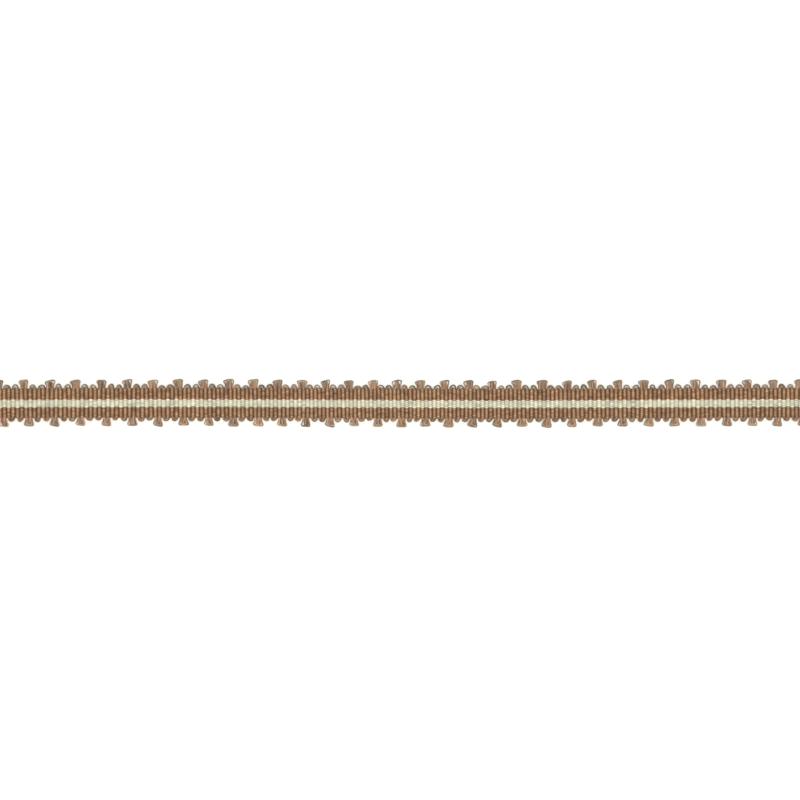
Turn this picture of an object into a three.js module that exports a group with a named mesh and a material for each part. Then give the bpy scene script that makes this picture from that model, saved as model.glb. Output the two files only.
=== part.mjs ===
// A cut length of picot braid trim, lying flat and face up: a ribbed woven band with a comb of yarn
// loops and taller fan-shaped picots along each edge.
// Millimetres. +X runs along the trim, +Y across it, +Z up. The trim lies on z = 0.
import * as THREE from "three";

// The ribs, each over one pick of weft. From one to the next their pitch swings by PITCH_SWING each way,
// once in SWING_RIBS: they crowd together around TIGHTEST_RIB and open out towards both ends.
const RIBS = 198;
const RIB_PITCH = 1.113;
const PITCH_SWING = 0.051;
const SWING_RIBS = 150;
const TIGHTEST_RIB = 93;
const RIB_CREST = 1.4;
const RIB_VALLEY = 1.05;
const CREST_PART = 0.46;

// The band, from selvage to selvage, and the slow sideways bow in which the whole trim lies.
const BAND_WIDTH = 7.6;
const BOW = 0.143;
const BOW_LENGTH = 175;
const BOW_START = -15.7;

// The edge combs. Each starts at the selvage, and the band's own solid ends a gap short of it.
const COMB_GAP = 0.3;
const COMB_BACK = 0.3;
const COMB_THICKNESS = 1.0;
const LOOP_WIDTH = 1.75;
const ARCH_SIDES = 4;
const TEETH_PER_PICOT = 3;
const FIRST_PICOT = 1;

// How far the loops and picots stand out past each selvage. The lower edge starts one rib further in.
const UPPER_EDGE = { side: 1, firstRib: 0, teeth: RIBS / 2, loopReach: 1.26, picotReach: 2.57 };
const LOWER_EDGE = { side: -1, firstRib: 1, teeth: RIBS / 2 - 1, loopReach: 1.07, picotReach: 2.34 };

// Half of a picot's outline: its pinched neck, its widest place and the end of its flat tip. Reach is
// a part of the whole.
const PICOT_OUTLINE = [
  { halfWidth: 0.92, reach: 0.2 },
  { halfWidth: 1.43, reach: 0.76 },
  { halfWidth: 1.0, reach: 1.0 },
];

// Hand-made unevenness of the picots: how far a tip may lean, stand out or draw in, and spread.
const LEAN = 0.18;
const EDGE_LEAN = 0.13;
const REACH_CHANGE = 0.06;
const WIDTH_CHANGE = 0.07;
const SCATTER = { tooth: 12.9898, salt: 78.233, gain: 43758.5453 };

const BROWN_WARP = new THREE.MeshStandardMaterial({ color: 0x906e52, roughness: 0.8, metalness: 0 });
const BROWN_WEFT = new THREE.MeshStandardMaterial({ color: 0x96826e, roughness: 0.6, metalness: 0 });

// Distance along the trim of rib number n. Halves are the valleys between ribs.
function ribX(n) {
  const wave = (2 * Math.PI) / SWING_RIBS;
  return RIB_PITCH * (n - (RIBS - 1) / 2) - (PITCH_SWING / wave) * Math.sin(wave * (n - TIGHTEST_RIB));
}

// Sideways drift of the middle line at a distance x along the trim.
function bowY(x) {
  return -BOW * Math.sin((2 * Math.PI * (x - BOW_START)) / BOW_LENGTH);
}

// A repeatable number from -1 to 1 for tooth n; each salt gives another series.
function uneven(n, salt) {
  const value = SCATTER.gain * Math.sin(SCATTER.tooth * n + SCATTER.salt * salt);
  return 2 * (value - Math.floor(value)) - 1;
}

// A closed solid between two copies of a flat mosaic. A tile is a counter-clockwise loop of corners,
// fanned from its first corner, and an edge that no second tile shares becomes a wall.
function solidFromTiles(tiles, nearSide, farSide) {
  const positions = [];
  const addTriangle = (a, b, c) => positions.push(...a, ...b, ...c);
  const edgeName = (a, b) => [a.x, a.y, b.x, b.y].join();
  const next = (tile, i) => tile[(i + 1) % tile.length];
  const edges = new Set(tiles.flatMap((tile) => tile.map((a, i) => edgeName(a, next(tile, i)))));
  for (const tile of tiles) {
    for (let i = 1; i < tile.length - 1; i++) {
      addTriangle(nearSide(tile[0]), nearSide(tile[i]), nearSide(tile[i + 1]));
      addTriangle(farSide(tile[0]), farSide(tile[i + 1]), farSide(tile[i]));
    }
    tile.forEach((a, i) => {
      const b = next(tile, i);
      if (edges.has(edgeName(b, a))) return;
      addTriangle(farSide(a), farSide(b), nearSide(b));
      addTriangle(farSide(a), nearSide(b), nearSide(a));
    });
  }
  const geometry = new THREE.BufferGeometry();
  geometry.setAttribute("position", new THREE.Float32BufferAttribute(positions, 3));
  geometry.computeVertexNormals();
  return geometry;
}

// Side view of one rib, in x and z: a flat foot, two flanks and a flat-topped crest.
function ribTile(n) {
  const [left, right] = [ribX(n - 0.5), ribX(n + 0.5)];
  const crest = (right - left) * CREST_PART;
  const middle = (left + right) / 2;
  return [
    new THREE.Vector2(left, 0),
    new THREE.Vector2(right, 0),
    new THREE.Vector2(right, RIB_VALLEY),
    new THREE.Vector2(middle + crest / 2, RIB_CREST),
    new THREE.Vector2(middle - crest / 2, RIB_CREST),
    new THREE.Vector2(left, RIB_VALLEY),
  ];
}

function makeBand() {
  const tiles = Array.from({ length: RIBS }, (_, n) => ribTile(n));
  const halfWidth = BAND_WIDTH / 2 - COMB_GAP;
  return solidFromTiles(
    tiles,
    (p) => [p.x, bowY(p.x) - halfWidth, p.y],
    (p) => [p.x, bowY(p.x) + halfWidth, p.y],
  );
}

// Plan outline of a rounded loop, right to left, as [distance from its middle, reach past the selvage].
function loopOutline(edge) {
  return Array.from({ length: ARCH_SIDES + 1 }, (_, i) => {
    const angle = (Math.PI * i) / ARCH_SIDES;
    const rise = (edge.loopReach - COMB_BACK) * Math.sin(angle);
    return [(LOOP_WIDTH / 2) * Math.cos(angle), COMB_BACK + rise];
  });
}

// Plan outline of a fan-shaped picot, right to left, leaning and spread a little differently each time.
function picotOutline(edge, tooth) {
  const lean = LEAN * uneven(tooth, edge.side) - EDGE_LEAN * edge.side;
  const reach = edge.picotReach * (1 + REACH_CHANGE * uneven(tooth, edge.side + 2));
  const spread = 1 + WIDTH_CHANGE * uneven(tooth, edge.side + 4);
  const place = (halfWidth, part) => [halfWidth * spread + lean * part, reach * part];
  const right = PICOT_OUTLINE.map((row) => place(row.halfWidth, row.reach));
  const left = PICOT_OUTLINE.map((row) => place(-row.halfWidth, row.reach)).reverse();
  return [...right, ...left];
}

// One tooth of a comb with its stretch of the comb's back, over the two ribs that its yarn joins. Its
// tile is fanned from the middle of its back, from where its narrow foot hides no part of its outline.
function toothTile(edge, tooth) {
  const [left, middle, right] = [-0.5, 0.5, 1.5].map((step) => ribX(edge.firstRib + 2 * tooth + step));
  const isPicot = tooth % TEETH_PER_PICOT === FIRST_PICOT;
  const outline = isPicot ? picotOutline(edge, tooth) : loopOutline(edge);
  const corners = [
    [middle, 0],
    [right, 0],
    [right, COMB_BACK],
    ...outline.map(([across, reach]) => [middle + across, reach]),
    [left, COMB_BACK],
    [left, 0],
  ];
  const points = corners.map(
    ([x, reach]) => new THREE.Vector2(x, edge.side * (BAND_WIDTH / 2 + reach)),
  );
  return edge.side > 0 ? points : [points[0], ...points.slice(1).reverse()];
}

function makePicotEdge(edge) {
  const tiles = Array.from({ length: edge.teeth }, (_, tooth) => toothTile(edge, tooth));
  return solidFromTiles(
    tiles,
    (p) => [p.x, p.y + bowY(p.x), COMB_THICKNESS],
    (p) => [p.x, p.y + bowY(p.x), 0],
  );
}

function addMesh(group, name, geometry, material) {
  const mesh = new THREE.Mesh(geometry, material);
  mesh.name = name;
  group.add(mesh);
}

const trim = new THREE.Group();
addMesh(trim, "woven_band", makeBand(), BROWN_WARP);
addMesh(trim, "upper_picot_edge", makePicotEdge(UPPER_EDGE), BROWN_WEFT);
addMesh(trim, "lower_picot_edge", makePicotEdge(LOWER_EDGE), BROWN_WEFT);

// The origin is the middle of the underside of the trim's own box.
const box = new THREE.Box3().setFromObject(trim);
const middle = box.getCenter(new THREE.Vector3());
trim.position.set(-middle.x, -middle.y, -box.min.z);

export default trim;
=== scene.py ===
# %% [markdown]
# # A picot braid trim, woven thread by thread
#
# The real thing is a narrow trimming, 7.6 mm wide without its edges. Thirty lengthwise threads, the warp
# ends, pass over and under a heavy crosswise yarn, the weft. Each pass of the weft, a pick, makes a rib
# across the band. At each of the band's own edges, the selvages, the weft comes out as small round loops,
# and every third one is a taller fan, the picot.
#
# The CAD frame holds the band as one ribbed solid and each edge as one comb. A solid with a picture of a
# weave on it would look flat in the gaps, so here every yarn is a tube that really goes over and under.

# %% Load the frame
import math

import bpy
import numpy as np
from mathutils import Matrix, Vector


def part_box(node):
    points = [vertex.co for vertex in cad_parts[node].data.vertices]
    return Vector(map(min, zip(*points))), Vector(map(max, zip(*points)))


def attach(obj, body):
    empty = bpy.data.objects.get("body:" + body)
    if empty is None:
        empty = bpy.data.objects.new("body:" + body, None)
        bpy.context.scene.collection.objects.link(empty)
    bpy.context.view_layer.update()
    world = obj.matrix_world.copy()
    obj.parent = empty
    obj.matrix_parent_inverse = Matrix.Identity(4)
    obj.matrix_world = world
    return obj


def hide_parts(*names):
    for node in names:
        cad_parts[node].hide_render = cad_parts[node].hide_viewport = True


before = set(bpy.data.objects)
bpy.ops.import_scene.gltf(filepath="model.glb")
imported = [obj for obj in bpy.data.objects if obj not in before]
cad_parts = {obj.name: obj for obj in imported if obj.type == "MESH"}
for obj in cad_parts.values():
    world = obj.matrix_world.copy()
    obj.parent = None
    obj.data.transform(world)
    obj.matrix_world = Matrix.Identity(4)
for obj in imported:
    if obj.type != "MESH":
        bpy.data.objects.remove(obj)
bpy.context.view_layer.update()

MM = 0.001

# %% [markdown]
# ## Where the ribs and the edges lie
#
# The trim isn't quite regular: its ribs crowd together a little near the middle, and its whole length bows
# sideways by a hair. An array of equal ribs would drift away from the CAD solids, so the same few numbers
# that drive the solids place the yarns here. Everything is worked out in millimetres along and across the
# band, and one function, lay, puts it in its real place.

# %% Ribs and bow, as in the CAD source
# SWING_RIBS and TIGHTEST_RIB count ribs. The lengths are in millimetres.
RIBS = 198
RIB_PITCH = 1.113
PITCH_SWING = 0.051
SWING_RIBS = 150
TIGHTEST_RIB = 93
BAND_WIDTH = 7.6
SELVAGE = BAND_WIDTH / 2
BOW = 0.143
BOW_LENGTH = 175
BOW_START = -15.7


def rib_x(n):
    """Distance along the band of rib number n, where halves are the valleys between ribs."""
    wave = 2 * math.pi / SWING_RIBS
    return RIB_PITCH * (n - (RIBS - 1) / 2) - PITCH_SWING / wave * np.sin(wave * (n - TIGHTEST_RIB))


def bow_y(x):
    """Sideways drift of the middle line at a distance x along the band."""
    return -BOW * np.sin(2 * math.pi * (x - BOW_START) / BOW_LENGTH)


band_low, band_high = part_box("woven_band")
SHIFT_X = band_low.x / MM - rib_x(-0.5)
SHIFT_Y = (band_low.y + band_high.y) / 2 / MM
MIDDLE = band_high.z / MM / 2


def lay(points):
    """Points in millimetres along, across and up, as metres in the shared frame."""
    x, y, z = points[..., 0], points[..., 1], points[..., 2]
    return np.stack([x + SHIFT_X, y + bow_y(x) + SHIFT_Y, z], axis=-1) * MM


print("band laid", round(SHIFT_X, 3), round(SHIFT_Y, 3), "mm off the weave's own middle")

# %% [markdown]
# ## Unevenness
#
# A loom is regular but yarn isn't. Each pick is beaten in at a slightly different angle, so each rib has a
# small tilt and a small curve of its own, and it takes the light a little differently from the next. One
# seeded generator gives all such numbers, so that every run is the same.
#
# A tone is a change of lightness: 1 makes a brown yarn 30 % lighter, and -1 as much darker.

# %% Small tilts, curves and tones of the ribs
SEED = 41

# In millimetres, how far each rib tilts at the selvage, how far all of them slant there, and how far each
# one curves from its middle to the selvage.
RIB_TILT = 0.05
RIB_SLANT = -0.03
RIB_CURVE = 0.035
RIB_TONE = 0.18

rng = np.random.default_rng(SEED)
rib_numbers = np.arange(RIBS + 1)
rib_tilt = rng.normal(RIB_SLANT, RIB_TILT, RIBS + 1)
rib_curve = rng.normal(0, RIB_CURVE, RIBS + 1)
rib_tone = rng.normal(0, RIB_TONE, RIBS + 1)


def weave_x(n, y):
    """Distance along the band of rib n at a distance y across it, with that rib's tilt and curve."""
    across = y / SELVAGE
    tilt = np.interp(n, rib_numbers, rib_tilt) * across
    return rib_x(n) + tilt + np.interp(n, rib_numbers, rib_curve) * (across**2 - 0.5)


print("rib tilt up to", round(float(np.abs(rib_tilt).max()), 2), "mm at the selvage")

# %% [markdown]
# ## A yarn is a swept outline
#
# A Blender curve with a round bevel makes a tube in one step, but its section is a circle everywhere. These
# yarns are squeezed: wide and flat on a rib, narrow where they dive between ribs. So the tube is built ring
# by ring along a path, with a half width and a half height at each ring.

# %% Rings along a path
SQUARENESS = 0.82


def distance_along(path):
    """Distance of each point of a path from its start."""
    steps = np.linalg.norm(np.diff(path, axis=0), axis=1)
    return np.concatenate([[0.0], np.cumsum(steps)])


def superellipse(sides):
    """The outline of a squeezed yarn. A SQUARENESS of 1 would give an ellipse, and near 0 a square."""
    angle = 2 * math.pi * np.arange(sides) / sides
    wide, high = np.cos(angle), np.sin(angle)
    return np.sign(wide) * np.abs(wide) ** SQUARENESS, np.sign(high) * np.abs(high) ** SQUARENESS


def rings_along(yarn, sides):
    """Rings of points round a yarn's path. flat_way is the direction of its half width."""
    along = np.gradient(yarn["path"], axis=0)
    along /= np.linalg.norm(along, axis=1, keepdims=True)
    flat_way = np.asarray(yarn["flat_way"], float)
    side = flat_way - (along @ flat_way)[:, None] * along
    side /= np.linalg.norm(side, axis=1, keepdims=True)
    upward = np.cross(along, side)
    wide, high = superellipse(sides)
    spread = wide[:, None] * (side * yarn["half_width"][:, None])[:, None, :]
    lift = high[:, None] * (upward * yarn["half_height"][:, None])[:, None, :]
    return yarn["path"][:, None, :] + spread + lift


# %% [markdown]
# ## Many yarns in one mesh
#
# Hundreds of separate objects would be slow to handle, so the yarns of one kind are joined as they are
# made. Each tube has a flat cap at each end, as a cut yarn has, so that it is a closed body.
#
# Each piece gets two UV maps and two attributes:
#
# - "Yarn" holds the millimetres along the yarn and, across, the yarn's number plus the turn round it, from
#   0 to 1. The fibre and twist patterns follow it.
# - "OFBake" spreads all the yarns over one square with no overlap, so that the finish can be stored in a
#   picture when the model leaves Blender.
# - "Tone" makes a yarn, or a stretch of it, lighter or darker, at random and as painted light and shade.
# - "Reach" goes from 0 in the band to 1 at the tip of a picot. The weft is painted greyer the further out
#   it is, as light from the white ground.

# %% The faces of one tube
def tube_corners(count, sides):
    """Ring and place of each face corner of a tube of that many rings, and the stretch that it is in.

    The quads come first and then the caps. Faces turn the way that makes them point outwards.
    """
    ring, place = np.divmod(np.arange((count - 1) * sides), sides)
    round_it = np.arange(sides)
    quad_rings = np.stack([ring, ring, ring + 1, ring + 1], axis=-1).ravel()
    quad_places = np.stack([place, place + 1, place + 1, place], axis=-1).ravel()
    rings = np.concatenate([quad_rings, np.zeros(sides, int), np.full(sides, count - 1)])
    places = np.concatenate([quad_places, round_it[::-1], round_it])
    stretches = np.concatenate([np.repeat(ring, 4), np.zeros(sides, int), np.full(sides, count - 2)])
    return rings, places, stretches


# %% Where each yarn lies on the bake map
BAKE_MARGIN = 0.06


class BakeMap:
    """A square cut into equal cells, one for each section of each yarn, near the yarns' own proportions.

    BAKE_MARGIN of a cell stays empty along each side, so that no yarn bleeds into its neighbour.
    """

    def __init__(self, yarns):
        length = np.mean([distance_along(yarn["path"])[-1] for yarn in yarns])
        girth = 2 * np.mean([np.mean(yarn["half_width"] + yarn["half_height"]) for yarn in yarns])
        share = length / (len(yarns) * girth)
        self.sections = max(1, round(math.sqrt(share)))
        self.columns = max(1, round(math.sqrt(1 / share)))
        self.rows = math.ceil(len(yarns) * self.sections / self.columns)

    def place(self, number, count, ring, turn, stretch):
        """The map's u and v for corners of yarn number, which has count rings."""
        per_section = math.ceil((count - 1) / self.sections)
        section = stretch // per_section
        cell = number * self.sections + section
        part = (ring - section * per_section) / per_section
        margin = BAKE_MARGIN / self.sections
        u = (cell % self.columns + margin + (1 - 2 * margin) * part) / self.columns
        v = (cell // self.columns + BAKE_MARGIN + (1 - 2 * BAKE_MARGIN) * turn) / self.rows
        return np.stack([u, v], axis=-1)


# %% All that one yarn brings to its mesh
# The turn stays this far off whole numbers, so that the yarn's number can be read from it all round.
TURN_INSET = 0.001


def tube(yarn, number, sides, bake_map):
    """The points, face corners, face sizes, UV places and attributes of one yarn."""
    count = len(yarn["path"])
    ring, place, stretch = tube_corners(count, sides)
    turn = place / sides
    across = number + TURN_INSET + (1 - 2 * TURN_INSET) * turn
    return {
        "points": lay(rings_along(yarn, sides)).reshape(-1, 3),
        "corners": ring * sides + place % sides,
        "sizes": [4] * ((count - 1) * sides) + [sides] * 2,
        "Yarn": np.stack([distance_along(yarn["path"])[ring], across], axis=-1),
        "OFBake": bake_map.place(number, count, ring, turn, stretch),
        "Tone": np.repeat(np.broadcast_to(yarn["tone"], count), sides),
        "Reach": np.repeat(np.broadcast_to(yarn["reach"], count), sides),
    }


# %% Join many yarns into one piece
def yarn_piece(name, yarns, sides):
    """One mesh of closed tubes. A yarn has a path, flat_way, half_width, half_height, tone and reach."""
    bake_map = BakeMap(yarns)
    tubes = [tube(yarn, number, sides, bake_map) for number, yarn in enumerate(yarns)]
    first = 0
    for one in tubes:
        one["corners"] += first
        first += len(one["points"])
    return build_mesh(name, {part: np.concatenate([one[part] for one in tubes]) for part in tubes[0]})


def build_mesh(name, joined):
    """A mesh object from its points, the point at each face corner and each face's number of corners."""
    points, corners, sizes = joined["points"], joined["corners"], joined["sizes"]
    mesh = bpy.data.meshes.new(name)
    mesh.vertices.add(len(points))
    mesh.vertices.foreach_set("co", points.astype(np.float32).ravel())
    mesh.loops.add(len(corners))
    mesh.loops.foreach_set("vertex_index", corners.astype(np.int32))
    mesh.polygons.add(len(sizes))
    mesh.polygons.foreach_set("loop_start", (np.cumsum(sizes) - sizes).astype(np.int32))
    for title in ("Yarn", "OFBake"):
        layer = mesh.uv_layers.new(name=title)
        layer.uv.foreach_set("vector", joined[title].astype(np.float32).ravel())
    for title in ("Tone", "Reach"):
        layer = mesh.attributes.new(title, "FLOAT", "POINT")
        layer.data.foreach_set("value", joined[title].astype(np.float32))
    mesh.update(calc_edges=True)
    mesh.polygons.foreach_set("use_smooth", sizes == 4)
    piece = bpy.data.objects.new(name, mesh)
    bpy.context.scene.collection.objects.link(piece)
    print(name, len(corners) - 2 * len(sizes), "triangles")
    return piece


# %% [markdown]
# ## The warp
#
# Thirty ends lie side by side, a quarter of a millimetre apart. On one rib the even ends are up and on the
# next rib the odd ones, so an end that is up has twice its own room and spreads over the rib as a flat
# bead. Where it dives, all thirty cross in one row and each is squeezed narrow. That is also why the sides
# of the ivory stripe step from rib to rib.
#
# A rippled sheet would give the ribs but not the separate threads. So each end is a path that swings up and
# down as a cosine, once in two ribs, and it swells at the top and the bottom of each swing.
#
# The outermost ends have nothing to lean on, so they lie lower. Their beads stand free in the light, and
# the gaps beside them are deep, so the tones swing more there: the beads get painted light and the dives
# painted shade. The ends in the middle of the band lie a tenth of a millimetre nearer to its lower edge than
# even spacing would put them, and the stripe with them.

# %% How the ends lie and swell
ENDS = 30
END_SPACING = BAND_WIDTH / ENDS
RINGS_PER_RIB = 6
WARP_SIDES = 8
WARP_SWING = 0.48
STRIPE_SHIFT = -0.1

# An end has its full width once it has gone SPREADS_BY of its swing up or down.
BEAD_HALF_WIDTH = 0.29
BEAD_HALF_HEIGHT = 0.2
DIVE_HALF_WIDTH = 0.13
DIVE_HALF_HEIGHT = 0.1
SPREADS_BY = 0.6

# How much one bead differs from the next in size, in place and in tone.
BEAD_CHANGE = 0.05
BEAD_SHIFT = 0.012
BEAD_TONE = 0.6

# How much less the two outermost ends on each side swing, and their size as a part of the others'. At the
# selvage a bead is painted lighter by SELVAGE_TONE, as light, and a dive is painted darker than a bead by
# SELVAGE_SHADE, as shade. The high power keeps this to the outermost ends.
SELVAGE_ENDS = {0: {"drop": 0.03, "size": 0.95}, 1: {"drop": 0.01, "size": 0.99}}
SELVAGE_TONE = 0.6
SELVAGE_SHADE = 1.3
SELVAGE_POWER = 8

print("warp ends", round(END_SPACING, 3), "mm apart")


# %% One warp end
def smooth_step(value):
    """From 0 to 1 with an easy start and end."""
    value = np.clip(value, 0, 1)
    return value * value * (3 - 2 * value)


def by_rib(ribs, values):
    """A value at each place along an end, eased from one rib's own value to the next."""
    return np.interp(ribs, rib_numbers, values)


def warp_end(index):
    """The path and thickness of one end. Even ends are up on the even ribs."""
    ribs = np.arange(RIBS * RINGS_PER_RIB + 1) / RINGS_PER_RIB - 0.5
    wave = (1 if index % 2 == 0 else -1) * np.cos(math.pi * ribs)
    place = SELVAGE_ENDS.get(min(index, ENDS - 1 - index), {"drop": 0, "size": 1})
    drift = by_rib(ribs, rng.normal(0, BEAD_SHIFT, RIBS + 1))
    even_y = (index - (ENDS - 1) / 2) * END_SPACING
    y = even_y + STRIPE_SHIFT * (1 - (even_y / SELVAGE) ** 2) + drift
    room = 1 - 2 * STRIPE_SHIFT * even_y / SELVAGE**2
    fullness = place["size"] * (1 + by_rib(ribs, rng.normal(0, BEAD_CHANGE, RIBS + 1)))
    bead = smooth_step(np.abs(wave) / SPREADS_BY)
    tone = by_rib(ribs, rib_tone + rng.normal(0, BEAD_TONE, RIBS + 1))
    at_selvage = (y / SELVAGE) ** SELVAGE_POWER
    return {
        "path": np.stack([weave_x(ribs, y), y, MIDDLE + (WARP_SWING - place["drop"]) * wave], axis=-1),
        "flat_way": (0, 1, 0),
        "half_width": room * (DIVE_HALF_WIDTH + (BEAD_HALF_WIDTH * fullness - DIVE_HALF_WIDTH) * bead),
        "half_height": DIVE_HALF_HEIGHT + (BEAD_HALF_HEIGHT * fullness - DIVE_HALF_HEIGHT) * bead,
        "tone": tone + (SELVAGE_TONE - SELVAGE_SHADE * (1 - bead)) * at_selvage,
        "reach": 0,
    }


# %% The groups of ends
SELVAGES = (0, ENDS - 1)
LOWER_BROWN = range(1, 11)
IVORY = range(11, 19)
UPPER_BROWN = range(19, ENDS - 1)
selvage_ends = yarn_piece("selvage_warp", [warp_end(i) for i in SELVAGES], WARP_SIDES)
lower_warp = yarn_piece("lower_brown_warp", [warp_end(i) for i in LOWER_BROWN], WARP_SIDES)
ivory_warp = yarn_piece("ivory_warp", [warp_end(i) for i in IVORY], WARP_SIDES)
upper_warp = yarn_piece("upper_brown_warp", [warp_end(i) for i in UPPER_BROWN], WARP_SIDES)

# %% [markdown]
# ## The weft inside the ribs
#
# The heavy weft is hidden by the warp, but it fills each rib and shows in the cut ends and in the deepest
# gaps. Its strands can't be told apart there, so each pick is one thick, slightly flattened yarn from edge
# to edge.

# %% The picks
# A pick ends PICK_INSET short of each selvage, among the feet of the loops.
PICK_HALF_WIDTH = 0.34
PICK_HALF_HEIGHT = 0.32
PICK_SIDES = 6
PICK_RINGS = 5
PICK_INSET = 0.1


def weft_pick(n):
    """The weft inside rib n."""
    y = np.linspace(PICK_INSET - SELVAGE, SELVAGE - PICK_INSET, PICK_RINGS)
    return {
        "path": np.stack([weave_x(n, y), y, np.full_like(y, MIDDLE)], axis=-1),
        "flat_way": (1, 0, 0),
        "half_width": np.full(PICK_RINGS, PICK_HALF_WIDTH),
        "half_height": np.full(PICK_RINGS, PICK_HALF_HEIGHT),
        "tone": rib_tone[n],
        "reach": 0,
    }


weft_picks = yarn_piece("weft_picks", [weft_pick(n) for n in range(RIBS)], PICK_SIDES)

# %% [markdown]
# ## Loops and picots
#
# The weft is a soft bundle of glossy strands with hardly any twist. At the edge it comes out of one rib,
# turns and goes back into the next. A few strands, the core, turn at once, low down between the two ribs.
# The rest stand out past the selvage. In a small loop they are nested arches, and the outer ones may draw
# out into a ring round a small hole. A picot is longer and opens into a fan: its strands leave through a
# narrow neck, spread, and turn back along a flat tip, where they lie close together.
#
# There are more than two thousand strands, too many curves to draw. So only the outermost and the
# innermost strand are drawn, as a few points, and on a picot also the one where its rim ends. The strands
# between are mixed from them, and a smooth curve through the points gives each path.

# %% A smooth curve through a few points
def smooth_path(points, steps):
    """A Catmull-Rom curve through the points, with a number of steps for each stretch between two."""
    points = np.asarray(points, float)
    ends = np.concatenate([[2 * points[0] - points[1]], points, [2 * points[-1] - points[-2]]])
    runs = []
    for a, b, c, d, count in zip(ends, ends[1:], ends[2:], ends[3:], steps):
        t = (np.arange(count) / count)[:, None]
        runs.append(b + 0.5 * t * (c - a + t * (2 * a - 5 * b + 4 * c - d + t * (3 * (b - c) + d - a))))
    return np.concatenate([*runs, points[-1:]])


# %% [markdown]
# ## The outlines of the edges
#
# Each outline goes from the left foot over the tip to the right foot. A point has its distance across from
# the middle of the loop, in millimetres, its reach past the selvage as a part of the whole, and how high it
# lies: 0 is in the light, and -1 and below is low and in shade. That height also paints the strand's colour
# darker or lighter there, as shade and light. A negative reach is millimetres inside the band. The loops
# lean: the strand leaves its rib straight and comes back into the next one at a slant and low down, so the
# right-hand side of each outline is the longer one and is painted darker.

# %% Outlines of the loops
UPPER_LOOP = {
    "outer": [
        (-0.74, -0.3, 0.0), (-0.86, 0.08, -0.2), (-0.72, 0.28, -0.5),
        (-0.62, 0.68, -0.7), (-0.02, 1.0, -0.4), (0.64, 0.82, -1.1),
        (0.95, 0.33, -1.8), (1.1, 0.08, -2.0), (0.82, -0.3, -1.5),
    ],
    "inner": [
        (-0.36, -0.3, -0.3), (-0.36, 0.04, -0.8), (-0.32, 0.14, -1.3),
        (-0.22, 0.26, -0.8), (-0.04, 0.32, 0.0), (0.08, 0.27, 0.0),
        (0.24, 0.16, -0.4), (0.38, 0.04, -0.5), (0.34, -0.3, -0.5),
    ],
}
LOWER_LOOP = {
    "outer": [
        (-0.72, -0.3, -0.1), (-0.8, 0.06, 0.2), (-0.58, 0.3, -0.2),
        (-0.48, 0.7, -0.8), (0.1, 1.0, -0.2), (0.72, 0.79, -0.6),
        (0.99, 0.34, -1.3), (1.12, 0.08, -1.4), (0.84, -0.3, -1.3),
    ],
    "inner": [
        (-0.36, -0.3, -0.7), (-0.32, 0.04, -1.0), (-0.22, 0.16, -1.3),
        (-0.06, 0.34, -1.6), (0.08, 0.4, -1.0), (0.2, 0.34, -0.6),
        (0.3, 0.18, -0.4), (0.36, 0.04, -0.6), (0.34, -0.3, -0.8),
    ],
}
print("a loop has", len(UPPER_LOOP), "outlines of", len(UPPER_LOOP["outer"]), "points")

# %% Outlines of the picots
UPPER_PICOT = {
    "rim": [
        (-0.74, -0.3, -0.1), (-0.9, 0.06, -0.2), (-0.85, 0.38, -0.6), (-1.3, 0.71, 0.3),
        (-1.08, 0.89, -0.1), (0.0, 0.99, -0.7), (0.76, 0.99, -0.8), (1.24, 0.87, -0.2),
        (1.06, 0.5, -0.5), (0.96, 0.06, -1.4), (0.82, -0.3, -1.0),
    ],
    "fan": [
        (-0.6, -0.3, -0.1), (-0.74, 0.06, -0.4), (-0.7, 0.38, -0.9), (-1.06, 0.7, 0.2),
        (-0.82, 0.82, -0.3), (0.0, 0.9, -0.8), (0.62, 0.92, -0.7), (1.0, 0.82, -0.1),
        (0.9, 0.47, -0.5), (0.84, 0.06, -1.5), (0.76, -0.3, -1.2),
    ],
    "heart": [
        (-0.3, -0.3, -0.5), (-0.14, 0.06, -0.3), (0.0, 0.3, -0.6), (-0.04, 0.66, -0.4),
        (-0.02, 0.74, -0.5), (0.02, 0.77, -0.5), (0.08, 0.75, -0.5), (0.1, 0.66, -0.4),
        (0.06, 0.3, -0.6), (0.16, 0.06, -0.2), (0.4, -0.3, -0.5),
    ],
}
LOWER_PICOT = {
    "rim": [
        (-0.62, -0.3, 0.3), (-0.64, 0.08, 0.5), (-0.8, 0.42, -0.5), (-1.14, 0.76, 0.6),
        (-0.82, 0.93, -0.4), (0.15, 0.99, -0.8), (1.12, 1.0, -0.6), (1.46, 0.83, 0.2),
        (1.14, 0.44, -0.3), (0.98, 0.08, -1.0), (0.86, -0.3, -1.0),
    ],
    "fan": [
        (-0.48, -0.3, 0.2), (-0.5, 0.08, 0.3), (-0.62, 0.44, -0.8), (-0.86, 0.74, 0.7),
        (-0.58, 0.86, 0.4), (0.14, 0.92, -0.2), (0.9, 0.91, 0.0), (1.2, 0.78, 0.1),
        (0.96, 0.46, -1.1), (0.86, 0.08, -0.9), (0.78, -0.3, -1.0),
    ],
    "heart": [
        (-0.3, -0.3, -0.8), (0.0, 0.08, -1.5), (0.16, 0.3, -0.2), (0.2, 0.58, -0.4),
        (0.24, 0.7, -0.2), (0.3, 0.76, -0.2), (0.36, 0.7, -0.6), (0.38, 0.56, -1.8),
        (0.3, 0.3, 0.2), (0.36, 0.08, -0.2), (0.4, -0.3, -0.9),
    ],
}
print("a picot has", len(UPPER_PICOT), "outlines of", len(UPPER_PICOT["rim"]), "points")

# %% [markdown]
# ## The two edges
#
# The lower edge starts one rib further in than the upper one, because the weft turns there on its way back.
# A tooth is one loop or picot and takes two ribs. How a picot leans and stretches is worked out as in the
# CAD source, so that it lies over its own tooth of the comb. The loops and picots of one edge also open
# more than those of the other: hole is how wide a loop's ring may open, and open_left and open_right say
# the same of a picot's corners.

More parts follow.
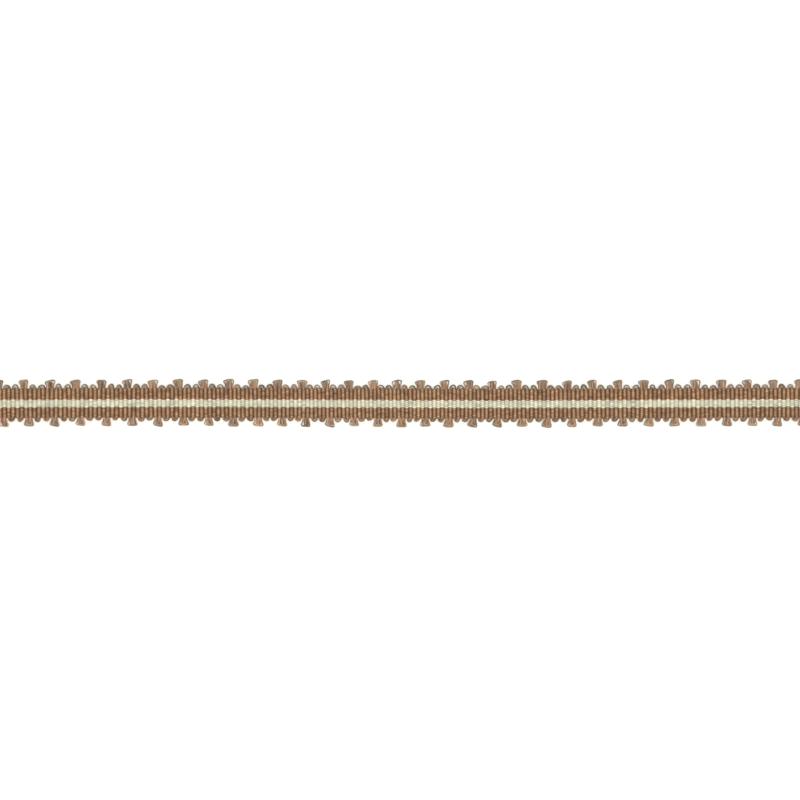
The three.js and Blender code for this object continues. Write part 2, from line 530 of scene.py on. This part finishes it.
# %% The edges
TEETH_PER_PICOT = 3
FIRST_PICOT = 1
LEAN = 0.18
REACH_CHANGE = 0.06
WIDTH_CHANGE = 0.07
SCATTER = {"tooth": 12.9898, "salt": 78.233, "gain": 43758.5453}
UPPER_EDGE = {
    "side": 1,
    "first_rib": 0,
    "teeth": RIBS // 2,
    "loop": UPPER_LOOP,
    "loop_reach": 1.2,
    "hole": 1.0,
    "picot": UPPER_PICOT,
    "picot_reach": 2.47,
    "open_left": 0.5,
    "open_right": 0.6,
}
LOWER_EDGE = {
    "side": -1,
    "first_rib": 1,
    "teeth": RIBS // 2 - 1,
    "loop": LOWER_LOOP,
    "loop_reach": 1.15,
    "hole": 0.4,
    "picot": LOWER_PICOT,
    "picot_reach": 2.42,
    "open_left": 0.45,
    "open_right": 0.35,
}
EDGES = {"upper": UPPER_EDGE, "lower": LOWER_EDGE}


def uneven(n, salt):
    """The same repeatable number from -1 to 1 that the CAD source gives for tooth n."""
    value = SCATTER["gain"] * math.sin(SCATTER["tooth"] * n + SCATTER["salt"] * salt)
    return 2 * (value - math.floor(value)) - 1


def is_picot(tooth):
    """Whether a tooth is a picot or a small loop."""
    return tooth % TEETH_PER_PICOT == FIRST_PICOT


for title, edge in EDGES.items():
    picots = sum(is_picot(tooth) for tooth in range(edge["teeth"]))
    print(title, "edge:", edge["teeth"], "teeth,", picots, "of them picots")

# %% [markdown]
# ## Strands in bundles
#
# Floss doesn't spread evenly. Its strands cling together in small bundles, some in the light and some in
# shade, that wind round each other. So the strands of one bundle share a tone and a start of winding, with
# a little of their own added. A strand that winds goes in and out between the drawn outlines, and up and
# down, so that the strands cross as real ones do.
#
# A loop is barely a millimetre deep, and wide light from above hardly shades it. The tones help: a stretch
# that lies low is darker, and next to the band a leg is lighter over its rib and darker over the valley.

# %% Mixing and winding
# Radians of winding from one drawn point to the next, radians by which the strands of one bundle start
# apart, and the drawn height by which winding lifts and lowers them.
WINDING = 0.55
WIND_START = 0.6
WIND_HEIGHT = 0.8

# How much one strand of a bundle, and one whole loop or picot, differs in tone from the next.
STRAND_TONE = 0.3
TOOTH_TONE = 0.15


def mixed(outer, inner, share):
    """Points of a strand between the outer one, where share is 0, and the inner one, where it is 1."""
    share = np.clip(share, 0, 1)[:, None]
    return np.asarray(outer) * (1 - share) + np.asarray(inner) * share


def wound(outer, inner, share, start, depth):
    """The outline of a strand of that share, which winds round the others as it goes."""
    angle = start + WINDING * np.arange(len(outer))
    outline = mixed(outer, inner, share + depth * np.sin(angle))
    outline[:, 2] += WIND_HEIGHT * np.cos(angle)
    return outline


def in_bundles(strands, bundles, outer_tones, spread):
    """A tone and a start of winding for each strand, with painted shade on the outermost ones."""
    bundle = np.arange(strands) * bundles // strands
    tones = rng.normal(0, spread, bundles)[bundle] + rng.normal(0, STRAND_TONE, strands)
    tones += rng.normal(0, TOOTH_TONE)
    tones[: len(outer_tones)] += outer_tones
    starts = rng.uniform(0, 2 * math.pi, bundles)[bundle] + rng.normal(0, WIND_START, strands)
    return zip(tones, starts)


def reshaped(outline, reach, widen, lean, tilt, jitter):
    """An outline at its real reach, widened, leaned over, with its tip tilted, and a little uneven."""
    across, part, up = outline.T
    beyond = np.maximum(part, 0)
    past = np.where(part > 0, part * reach + tilt * across * beyond, part)
    across = across * np.where(part > 0, widen, 1) + lean * beyond
    return np.column_stack([across, past, up]) + rng.normal(0, 1, outline.shape) * (jitter, jitter, 0)


# %% One strand of a loop or a picot
STRAND_SIDES = 4

# A leg climbs LEG_RISE up from the middle of the band, within LEG_RUN of its start inside the selvage.
# Past the selvage it sinks by SAG for each millimetre, and a drawn height of 1 lifts it by STRAND_LIFT.
LEG_RISE = 0.44
LEG_START = -0.4
LEG_RUN = 0.45
SAG = 0.3
STRAND_LIFT = 0.14

# How far a leg's tone swings from rib to valley, the part of that swing which makes it lighter, and the
# millimetres past the selvage where it has faded out. No strand gets darker than DARKEST.
LEG_SHADE = {"swing": 1.8, "lighter": 0.35, "fades": 0.55}
DARKEST = -2.1


def leg_shade(across, past):
    """Painted light and shade near the band: a leg is lighter over its rib and darker over the valley next
    to it.
    """
    in_valley = np.cos(math.pi * across / RIB_PITCH) ** 2
    fading = 1 - smooth_step(past / LEG_SHADE["fades"])
    return LEG_SHADE["swing"] * (LEG_SHADE["lighter"] - in_valley) * fading


def edge_strand(edge, tooth, outline, shape, tone):
    """A strand laid from its outline, over the two ribs that its yarn joins. What lies low is also painted
    darker, as shade.
    """
    across, past, up = smooth_path(outline, shape["steps"]).T
    rib = edge["first_rib"] + 2 * tooth + 0.5
    middle = weave_x(rib, edge["side"] * SELVAGE)
    leg = LEG_RISE * smooth_step((past - LEG_START) / LEG_RUN)
    z = MIDDLE + leg - SAG * np.maximum(past, 0) + STRAND_LIFT * up
    return {
        "path": np.stack([middle + across, edge["side"] * (SELVAGE + past), z], axis=-1),
        "flat_way": (0, 0, -1),
        "half_width": np.full(len(across), shape["radius"]),
        "half_height": np.full(len(across), shape["radius"]),
        "tone": np.maximum(tone + up + leg_shade(across, past), DARKEST),
        "reach": np.interp(past / past.max(), (0, 1), shape["reach"]),
    }


# %% The core of a loop or picot
# The height of -1.6 at each point lays the core low and also paints it darker, as shade between the ribs.
CORE = [
    (-1.1, -0.35, -1.6), (-1.0, 0.0, -1.6), (-0.5, 0.12, -1.6), (0.02, 0.14, -1.6),
    (0.55, 0.12, -1.6), (1.04, 0.0, -1.6), (1.12, -0.35, -1.6),
]
CORE_SHAPE = {"radius": 0.19, "steps": (1, 2, 2, 2, 2, 1), "reach": (0, 0)}
CORE_JITTER = 0.02
print("a core strand has", sum(CORE_SHAPE["steps"]) + 1, "rings")


def core_strand(edge, tooth):
    """The part of the bundle that turns at once, low down between the two ribs."""
    outline = np.asarray(CORE) + rng.normal(0, CORE_JITTER, (len(CORE), 3))
    return edge_strand(edge, tooth, outline, CORE_SHAPE, 0)


# %% [markdown]
# ## Small loops
#
# A loop has nine strands in four bundles. The outermost ones lie low and are painted darkest, as shade,
# which draws each loop's round outline. In an open loop five of them keep together as a ring, and the
# other four stay near the band as its heart, with the hole between. About one loop in twelve is squashed.
#
# A small loop stands alone over the white ground, so even its legs are painted a little greyer than the
# ribs, as light from the ground, and its tip half as grey as a picot's. That is why its reach goes from 0.62
# to 0.75, and not from 0 to 1.

# %% How a small loop opens
LOOP_STRANDS = 9
RING_STRANDS = 5

# Where along its outline a loop opens. The ring and the heart of an open one each keep to a part of the
# way from the outermost to the innermost strand.
LOOP_OPENS = np.array([0, 0.3, 0.7, 1, 1, 1, 0.7, 0.3, 0])
RING_PART = 0.26
HEART_PART = 0.2


def loop_share(number, hole):
    """How far in a strand lies at each point. In an open loop the strands part into ring and heart."""
    last = LOOP_STRANDS - 1
    even = number / last
    if number < RING_STRANDS:
        parted = RING_PART * number / (RING_STRANDS - 1)
    else:
        parted = 1 - HEART_PART * (last - number) / (last - RING_STRANDS)
    return even + hole * LOOP_OPENS * (parted - even)


# %% The strands of a small loop
# LOOP_SPREAD is how much the bundles differ in tone, and LOOP_TONES are the strands' own tones from the
# outermost inward: the dark ones are painted shade on a loop's rim. LEAST_HOLE is the least part of its
# edge's hole that a loop has.
LOOP_BUNDLES = 4
LOOP_SPREAD = 0.5
LOOP_TONES = [-1.5, -1.2, -0.8, -0.5, -0.1, 0, 0, 0.1, 0.1]
LOOP_SHAPE = {"radius": 0.08, "steps": (1, 2, 3, 4, 4, 3, 2, 1), "reach": (0.62, 0.75)}
LOOP_JITTER = 0.02
LOOP_WIND = 0.08
LOOP_CHANGE = {"reach": 0.05, "widen": 0.07, "lean": 0.1}
TIP_TILT = 0.08
SQUASHED = {"chance": 0.08, "height": 0.78}
LEAST_HOLE = 0.3
print("a small loop has", LOOP_STRANDS, "strands of", sum(LOOP_SHAPE["steps"]) + 1, "rings")


def loop_form(edge):
    """How one loop is stretched, widened, leaned and tilted."""
    tall = SQUASHED["height"] if rng.random() < SQUASHED["chance"] else 1
    return {
        "reach": edge["loop_reach"] * tall * (1 + LOOP_CHANGE["reach"] * rng.normal()),
        "widen": 1 + LOOP_CHANGE["widen"] * rng.normal(),
        "lean": LOOP_CHANGE["lean"] * rng.normal(),
        "tilt": TIP_TILT * rng.normal(),
        "jitter": LOOP_JITTER,
    }


def loop_strands(edge, tooth):
    """The strands of one small loop."""
    form = loop_form(edge)
    hole = edge["hole"] * rng.uniform(LEAST_HOLE, 1.0)
    outer, inner = edge["loop"]["outer"], edge["loop"]["inner"]
    strands = [core_strand(edge, tooth)]
    bundled = in_bundles(LOOP_STRANDS, LOOP_BUNDLES, LOOP_TONES, LOOP_SPREAD)
    for number, (tone, start) in enumerate(bundled):
        outline = wound(outer, inner, loop_share(number, hole), start, LOOP_WIND)
        strands.append(edge_strand(edge, tooth, reshaped(outline, **form), LOOP_SHAPE, tone))
    return strands


# %% [markdown]
# ## Fan-shaped picots
#
# A picot has fifteen strands in six bundles. Five of them run close together round its rim, and the other
# ten fill the fan down to its heart. At a corner of some picots the inner strands shrink back and leave a
# small gap behind the rim, where the ground shows. Most corners stay nearly closed.

# %% How a picot's corners open
PICOT_STRANDS = 15
RIM_STRANDS = 5

# Where along the outline the left corner opens. The right one opens at the same places from the other end.
PICOT_OPENS = np.array([0, 0, 0.35, 1, 0.9, 0.3, 0, 0, 0, 0, 0])


def picot_shares(open_left, open_right):
    """For each strand its two outlines and its share at each point. The rim's strands stay together."""
    corners = open_left * PICOT_OPENS + open_right * PICOT_OPENS[::-1]
    for number in range(PICOT_STRANDS):
        if number < RIM_STRANDS:
            yield "rim", "fan", np.full(len(corners), number / RIM_STRANDS)
        else:
            depth = (number - RIM_STRANDS) / (PICOT_STRANDS - RIM_STRANDS - 1)
            yield "fan", "heart", corners + (1 - corners) * depth


# %% The strands of a picot
# A GAP_POWER over 1 makes wide gaps rare.
PICOT_BUNDLES = 6
PICOT_SPREAD = 0.7
# PICOT_TONES paint the two outermost strands darker, as shade along the rim.
PICOT_TONES = [-0.6, -0.2]
PICOT_SHAPE = {"radius": 0.075, "steps": (1, 1, 3, 5, 3, 2, 5, 3, 1, 1), "reach": (0, 1)}
PICOT_JITTER = 0.035
PICOT_WIND = 0.09
GAP_POWER = 1.5
print("a picot has", PICOT_STRANDS, "strands of", sum(PICOT_SHAPE["steps"]) + 1, "rings")


def picot_form(edge, tooth):
    """How one picot is stretched, widened and leaned, like its tooth of the comb, and its tip tilted."""
    side = edge["side"]
    return {
        "reach": edge["picot_reach"] * (1 + REACH_CHANGE * uneven(tooth, side + 2)),
        "widen": 1 + WIDTH_CHANGE * uneven(tooth, side + 4),
        "lean": LEAN * uneven(tooth, side),
        "tilt": TIP_TILT * rng.normal(),
        "jitter": PICOT_JITTER,
    }


def picot_strands(edge, tooth):
    """The strands of one picot."""
    form = picot_form(edge, tooth)
    gaps = [edge[corner] * rng.random() ** GAP_POWER for corner in ("open_left", "open_right")]
    strands = [core_strand(edge, tooth)]
    bundled = in_bundles(PICOT_STRANDS, PICOT_BUNDLES, PICOT_TONES, PICOT_SPREAD)
    for (outer, inner, share), (tone, start) in zip(picot_shares(*gaps), bundled):
        outline = wound(edge["picot"][outer], edge["picot"][inner], share, start, PICOT_WIND)
        strands.append(edge_strand(edge, tooth, reshaped(outline, **form), PICOT_SHAPE, tone))
    return strands


# %% The four edge pieces
edge_pieces = {}
for title, edge in EDGES.items():
    teeth = range(edge["teeth"])
    loops = [strand for tooth in teeth if not is_picot(tooth) for strand in loop_strands(edge, tooth)]
    fans = [strand for tooth in teeth if is_picot(tooth) for strand in picot_strands(edge, tooth)]
    edge_pieces[title] = [
        yarn_piece(f"{title}_loops", loops, STRAND_SIDES),
        yarn_piece(f"{title}_picots", fans, STRAND_SIDES),
    ]

# %% [markdown]
# ## Materials
#
# Colours are given as the hex values that the eye reads and turned to the linear values that light is
# worked out in. One small function adds a node with its settings and links.

# %% Colours and a way to add nodes
def linear(hex_colour):
    """An sRGB hex colour as linear red, green, blue and alpha."""
    channels = [int(hex_colour[i : i + 2], 16) / 255 for i in (1, 3, 5)]
    return (*[c / 12.92 if c <= 0.04045 else ((c + 0.055) / 1.055) ** 2.4 for c in channels], 1.0)


def add_node(tree, kind, inputs=None, **settings):
    """Adds a node with its settings. An input is a value to set, or an output or a whole node to link.

    A whole node links its first output.
    """
    node = tree.nodes.new(kind)
    for name, value in settings.items():
        setattr(node, name, value)
    for name, value in (inputs or {}).items():
        entry = next(s for i, s in enumerate(node.inputs) if s.enabled and name in (i, s.name))
        if isinstance(value, bpy.types.Node):
            value = next(s for s in value.outputs if s.enabled)
        if isinstance(value, bpy.types.NodeSocket):
            tree.links.new(value, entry)
        else:
            entry.default_value = value
    return node


def new_material(name):
    """An empty material and its node tree."""
    material = bpy.data.materials.new(name)
    material.use_nodes = True
    material.node_tree.nodes.clear()
    return material, material.node_tree


# %% [markdown]
# ## What lies on a yarn
#
# A twisted yarn shows two things up close: the groove between its plies, which winds round it, and fine
# fibres that lie along the same slant. Both follow the "Yarn" map. The turn round the yarn is put forward
# by the distance along it, so a pattern that is straight in numbers winds on the real thing.
#
# The fibres are noise on a cylinder: the turn is made a point on a circle, so that the noise meets itself
# with no seam, and distance along the yarn is the cylinder's length. It is drawn out along the fibres.

# %% Patterns that follow a yarn
# The noise of one yarn lies this far from that of the next, so that no two are alike.
YARNS_APART = 17.0

# The average of noise, and that of a squared cosine.
MIDWAY = 0.5


def yarn_coordinates(tree, lay_length):
    """Millimetres along, the turn that follows a twist of that lay, the yarn's number and the plain turn."""
    uv_map = add_node(tree, "ShaderNodeUVMap", uv_map="Yarn")
    axes = add_node(tree, "ShaderNodeSeparateXYZ", {"Vector": uv_map})
    along, turn = axes.outputs["X"], axes.outputs["Y"]
    twist = {0: along, 1: 1 / lay_length, 2: turn}
    twisted = add_node(tree, "ShaderNodeMath", twist, operation="MULTIPLY_ADD")
    number = add_node(tree, "ShaderNodeMath", {0: turn}, operation="FLOOR")
    return along, twisted, number, turn


def fibres(tree, coordinates, girth, width, length):
    """Noise from 0 to 1 in streaks of that width and length, in millimetres, on a yarn of that girth."""
    along, twisted, number, _ = coordinates
    scale = girth / (2 * math.pi * width)
    angle = add_node(tree, "ShaderNodeMath", {0: twisted, 1: 2 * math.pi}, operation="MULTIPLY")
    x = add_node(tree, "ShaderNodeMath", {0: angle}, operation="COSINE")
    y = add_node(tree, "ShaderNodeMath", {0: angle}, operation="SINE")
    apart = add_node(tree, "ShaderNodeMath", {0: number, 1: YARNS_APART}, operation="MULTIPLY")
    drawn_out = {0: along, 1: 1 / (length * scale), 2: apart}
    z = add_node(tree, "ShaderNodeMath", drawn_out, operation="MULTIPLY_ADD")
    place = add_node(tree, "ShaderNodeCombineXYZ", {"X": x, "Y": y, "Z": z})
    noise = {"Vector": place, "Scale": scale, "Detail": 3, "Roughness": 0.6}
    return add_node(tree, "ShaderNodeTexNoise", noise)


def plies(tree, coordinates, count):
    """From 0 in the groove between two plies to 1 on the back of a ply."""
    angle = add_node(tree, "ShaderNodeMath", {0: coordinates[1], 1: math.pi * count}, operation="MULTIPLY")
    wave = add_node(tree, "ShaderNodeMath", {0: angle}, operation="SINE")
    return add_node(tree, "ShaderNodeMath", {0: wave}, operation="ABSOLUTE")


def swung(tree, start, patterns):
    """A number near start. Each pattern has its swing, and its middle, at which it changes nothing."""
    total = start - sum(swing * middle for _, swing, middle in patterns)
    for pattern, swing, _ in patterns:
        total = add_node(tree, "ShaderNodeMath", {0: pattern, 1: swing, 2: total}, operation="MULTIPLY_ADD")
    return total


# %% [markdown]
# ## Brown and ivory cotton
#
# The warp is dyed cotton of two plies, fine and tightly twisted. Cotton is matt and a little hairy, so it
# is rough, with a faint sheen at its edges and no clear highlight. The eye gets its cue from the grooves
# between the plies and from the depth of the weave.
#
# Light that falls between two brown ribs bounces from one to the other and comes back deeper and redder.
# The render shows only a part of that, so the yarn is also coloured a shade deeper where it dives, and
# darker at its sides, next to its neighbours.

# %% Dye patches, and painted shade in dives and grooves
# An end has its deeper colour, painted shade, up to DIVE_HEIGHT off the middle of the band, and the colour
# of its crests from CREST_HEIGHT on.
DIVE_HEIGHT = 0.44 * MM
CREST_HEIGHT = 0.7 * MM
DYE_PATCH = 6 * MM


def dye_patches(tree):
    """Soft patches, six millimetres wide, where the dyeing took a little more or less."""
    place = add_node(tree, "ShaderNodeTexCoord").outputs["Object"]
    return add_node(tree, "ShaderNodeTexNoise", {"Vector": place, "Scale": 1 / DYE_PATCH, "Detail": 1})


def height_share(tree):
    """From 0 where the yarn dives to 1 on the crest of a rib, on either face of the band."""
    place = add_node(tree, "ShaderNodeTexCoord").outputs["Object"]
    up = add_node(tree, "ShaderNodeSeparateXYZ", {"Vector": place}).outputs["Z"]
    off_middle = add_node(tree, "ShaderNodeMath", {0: up, 1: MIDDLE * MM}, operation="SUBTRACT")
    height = add_node(tree, "ShaderNodeMath", {0: off_middle}, operation="ABSOLUTE")
    ends = {"Value": height, "From Min": DIVE_HEIGHT, "From Max": CREST_HEIGHT}
    return add_node(tree, "ShaderNodeMapRange", ends, interpolation_type="SMOOTHSTEP")


def groove_share(tree, coordinates):
    """From 0 on the top and the underside of a warp end to 1 at its sides, next to its neighbours."""
    angle = add_node(tree, "ShaderNodeMath", {0: coordinates[3], 1: 2 * math.pi}, operation="MULTIPLY")
    wave = add_node(tree, "ShaderNodeMath", {0: angle}, operation="COSINE")
    return add_node(tree, "ShaderNodeMath", {0: wave, 1: wave}, operation="MULTIPLY")


def yarn_shader(tree, dye_and_painted_light, lightness, look, bump):
    """Ends a yarn's material: colour and painted light at that lightness, with that look and bump."""
    colour = add_node(tree, "ShaderNodeVectorMath", {0: dye_and_painted_light, "Scale": lightness}, operation="SCALE")
    normal = add_node(tree, "ShaderNodeBump", bump)
    shader = add_node(tree, "ShaderNodeBsdfPrincipled", {"Base Color": colour, "Normal": normal, **look})
    add_node(tree, "ShaderNodeOutputMaterial", {"Surface": shader})


# %% Cotton warp
COTTON_LAY = 1.7
COTTON_GIRTH = 1.3
COTTON_PLIES = 2

# A cotton fibre is 0.015 mm wide, too fine to show, so a streak stands for a few fibres side by side.
COTTON_FIBRE = {"width": 0.06, "length": 0.5}

# Each swing is a part of the lightness, from one end of a pattern to the other, or for a tone of 1.
# PLY_MIDDLE is the average of a sine's size, so that the plies leave a yarn as light as it was. PLY_SWING
# paints shade into the groove between the plies, and GROOVE_SWING paints it at an end's sides.
PLY_SWING = 0.4
PLY_MIDDLE = 0.64
FIBRE_SWING = 0.5
GROOVE_SWING = 0.2
DYE_SWING = 0.12
BROWN_TONE_SWING = 0.3
IVORY_TONE_SWING = 0.18

# The bump's distance is the height of a ply, and FIBRE_HEIGHT is that of a fibre as a part of it.
COTTON_ROUGHNESS = 0.75
COTTON_ROUGHNESS_SWING = 0.3
FIBRE_HEIGHT = 0.6
COTTON_BUMP = {"Strength": 0.9, "Distance": 0.05 * MM}


def cotton_yarn(name, crest, dive, tone_swing):
    """Two-ply cotton in the colour of its crests, and a deeper one painted into its dives as shade."""
    material, tree = new_material(name)
    coordinates = yarn_coordinates(tree, COTTON_LAY)
    ply = plies(tree, coordinates, COTTON_PLIES)
    streaks = fibres(tree, coordinates, COTTON_GIRTH, **COTTON_FIBRE)
    tone = add_node(tree, "ShaderNodeAttribute", attribute_name="Tone").outputs["Fac"]
    ends = {"Factor": height_share(tree), "A": linear(dive), "B": linear(crest)}
    dye_and_painted_light = add_node(tree, "ShaderNodeMix", ends, data_type="RGBA")
    patterns = [
        (ply, PLY_SWING, PLY_MIDDLE),
        (streaks, FIBRE_SWING, MIDWAY),
        (groove_share(tree, coordinates), -GROOVE_SWING, MIDWAY),
        (dye_patches(tree), DYE_SWING, MIDWAY),
        (tone, tone_swing, 0),
    ]
    roughness = swung(tree, COTTON_ROUGHNESS, [(streaks, COTTON_ROUGHNESS_SWING, MIDWAY)])
    height = swung(tree, MIDWAY, [(ply, 1.0, MIDWAY), (streaks, FIBRE_HEIGHT, MIDWAY)])
    look = {"Roughness": roughness, "IOR": 1.4, "Sheen Weight": 0.05}
    yarn_shader(tree, dye_and_painted_light, swung(tree, 1.0, patterns), look, {"Height": height, **COTTON_BUMP})
    print(name, len(tree.nodes), "nodes")
    return material


brown_cotton = cotton_yarn("brown_cotton", "#ae8d72", "#7a542f", BROWN_TONE_SWING)
ivory_cotton = cotton_yarn("ivory_cotton", "#dcd6c2", "#c9c6ac", IVORY_TONE_SWING)

# %% [markdown]
# ## Brown viscose
#
# The weft is viscose floss: smooth endless filaments with hardly any twist. It has a soft silky lustre, so
# it is less rough than the cotton, and fine straight lines run along it. Near the band it reads as the same
# brown as the ribs. Where the strands stand out over the white ground they catch its light, and that light
# is painted in as a greyer colour.

# %% Viscose weft
VISCOSE_LAY = 7.0
VISCOSE_GIRTH = 0.44

# A viscose filament is 0.015 mm wide, too fine to show, so a streak stands for about two of them.
VISCOSE_FIBRE = {"width": 0.025, "length": 1.5}
FILAMENT_SWING = 0.7
VISCOSE_ROUGHNESS = 0.45
VISCOSE_ROUGHNESS_SWING = 0.25
VISCOSE_BUMP = {"Strength": 0.9, "Distance": 0.02 * MM}

# The reach at which the weft starts to be painted greyer, as light from the white ground, and the one
# where it has its greyest colour.
GREYS_FROM = 0.5
GREYS_TO = 1.0


def reach_share(tree):
    """From 0 near the band to 1 out at the tips of the picots."""
    reach = add_node(tree, "ShaderNodeAttribute", attribute_name="Reach").outputs["Fac"]
    ends = {"Value": reach, "From Min": GREYS_FROM, "From Max": GREYS_TO}
    return add_node(tree, "ShaderNodeMapRange", ends, interpolation_type="SMOOTHSTEP")


def viscose_floss(name, near, far):
    """Glossy floss in its colour near the band and a greyer one further out, painted light from the ground.
    """
    material, tree = new_material(name)
    coordinates = yarn_coordinates(tree, VISCOSE_LAY)
    streaks = fibres(tree, coordinates, VISCOSE_GIRTH, **VISCOSE_FIBRE)
    tone = add_node(tree, "ShaderNodeAttribute", attribute_name="Tone").outputs["Fac"]
    ends = {"Factor": reach_share(tree), "A": linear(near), "B": linear(far)}
    dye_and_painted_light = add_node(tree, "ShaderNodeMix", ends, data_type="RGBA")
    patterns = [
        (streaks, FILAMENT_SWING, MIDWAY),
        (dye_patches(tree), DYE_SWING, MIDWAY),
        (tone, BROWN_TONE_SWING, 0),
    ]
    roughness = swung(tree, VISCOSE_ROUGHNESS, [(streaks, VISCOSE_ROUGHNESS_SWING, MIDWAY)])
    look = {"Roughness": roughness, "IOR": 1.45}
    yarn_shader(tree, dye_and_painted_light, swung(tree, 1.0, patterns), look, {"Height": streaks, **VISCOSE_BUMP})
    print(name, len(tree.nodes), "nodes")
    return material


brown_viscose = viscose_floss("brown_viscose", "#b28c6d", "#a79076")

# %% [markdown]
# ## Finish each piece
#
# Every piece rides with the trim's one body, gets its material, and stands for the CAD solid that it
# replaces. The solids stay for the physics and are hidden here.

# %% Material, body and slot of each piece
for piece, material, slot, node in (
    (selvage_ends, brown_cotton, "brown_warp", "woven_band"),
    (lower_warp, brown_cotton, "brown_warp", "woven_band"),
    (ivory_warp, ivory_cotton, "ivory_warp", "woven_band"),
    (upper_warp, brown_cotton, "brown_warp", "woven_band"),
    (weft_picks, brown_viscose, "brown_weft", "woven_band"),
    *[(piece, brown_viscose, "brown_weft", "upper_picot_edge") for piece in edge_pieces["upper"]],
    *[(piece, brown_viscose, "brown_weft", "lower_picot_edge") for piece in edge_pieces["lower"]],
):
    piece.data.materials.append(material)
    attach(piece, "root")
    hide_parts(node)
    print(piece.name, "in", material.name, "stands for", node)

# %% [markdown]
# ## Floor, light and camera
#
# The photograph looks straight down on white card in light that comes from all round, with no clear shadow.
# A white sky gives that, but alone it leaves a grey rim of shade along the trim, so a wide lamp straight
# above does most of the work. The camera looks straight down too, from 0.6 m through a long lens, which is
# far enough that the ends of the trim are seen from above and not from the side.

# %% Floor
FLOOR_SIZE = 4

bpy.ops.object.select_all(action="DESELECT")
bpy.ops.mesh.primitive_plane_add(size=FLOOR_SIZE)
floor = bpy.context.object
floor.name = "floor"
white_card, tree = new_material("white_card")
shader = add_node(tree, "ShaderNodeBsdfPrincipled", {"Base Color": linear("#f8f8f2"), "Roughness": 0.9})
add_node(tree, "ShaderNodeOutputMaterial", {"Surface": shader})
floor.data.materials.append(white_card)
print("floor", FLOOR_SIZE, "m wide")

# %% Sky and lamp
SKY = 0.45
LAMP_POWER = 6.2
LAMP_SIZE = 0.4
LAMP_HEIGHT = 0.9

world = bpy.data.worlds.new("studio")
world.use_nodes = True
sky = world.node_tree.nodes["Background"]
sky.inputs["Color"].default_value = (1, 1, 1, 1)
sky.inputs["Strength"].default_value = SKY
bpy.context.scene.world = world

lamp_data = bpy.data.lights.new("softbox", "AREA")
lamp_data.shape = "SQUARE"
lamp_data.size = LAMP_SIZE
lamp_data.energy = LAMP_POWER
lamp = bpy.data.objects.new("softbox", lamp_data)
lamp.location = (0.0, 0.0, LAMP_HEIGHT)
bpy.context.scene.collection.objects.link(lamp)
print("lamp", LAMP_POWER, "W,", LAMP_HEIGHT, "m up, sky", SKY)

# %% Camera
# The picture takes in PHOTO_WIDTH at the height of the ribs. AIM is the point that its middle shows, so the
# trim lies a little below the middle, as in the photograph. The lens and the sensor are in millimetres.
PHOTO_WIDTH = 0.2152
AIM = (0.48 * MM, 0.785 * MM)
LENS = 100
SENSOR = 36

camera_data = bpy.data.cameras.new("camera")
camera_data.lens = LENS
camera_data.sensor_width = SENSOR
camera = bpy.data.objects.new("camera", camera_data)
camera.location = (*AIM, PHOTO_WIDTH * LENS / SENSOR + band_high.z)
bpy.context.scene.collection.objects.link(camera)
bpy.context.scene.camera = camera
bpy.context.scene.view_settings.view_transform = "Standard"
bpy.context.scene.view_settings.look = "None"
print("camera", round(camera.location.z, 3), "m up")
